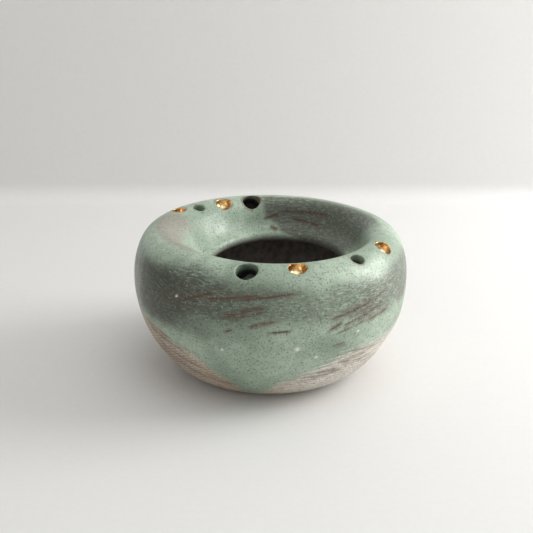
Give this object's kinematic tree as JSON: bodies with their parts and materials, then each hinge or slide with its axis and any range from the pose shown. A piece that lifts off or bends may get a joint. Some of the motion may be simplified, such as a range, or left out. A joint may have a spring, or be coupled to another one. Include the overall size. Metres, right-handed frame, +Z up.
{
  "type": "kintsugi vase",
  "caption": "Small round thick-walled ceramic vase with a sunken mouth, a broad soft rim, pierced holes and gold-lined pits.",
  "frame": {"origin": "middle of the flat underside, which is also the middle of the bottom of the box", "axes": "+Z up, -Y towards the front, where the large pierced hole and the front gilded pit are"},
  "size_m": [0.1108, 0.1132, 0.0588],
  "materials": {
    "celadon_glaze": "satin",
    "gold_lustre": "gloss"
  },
  "bodies": {
    "root": {"vase_body": "celadon_glaze"}
  },
  "joints": []
}
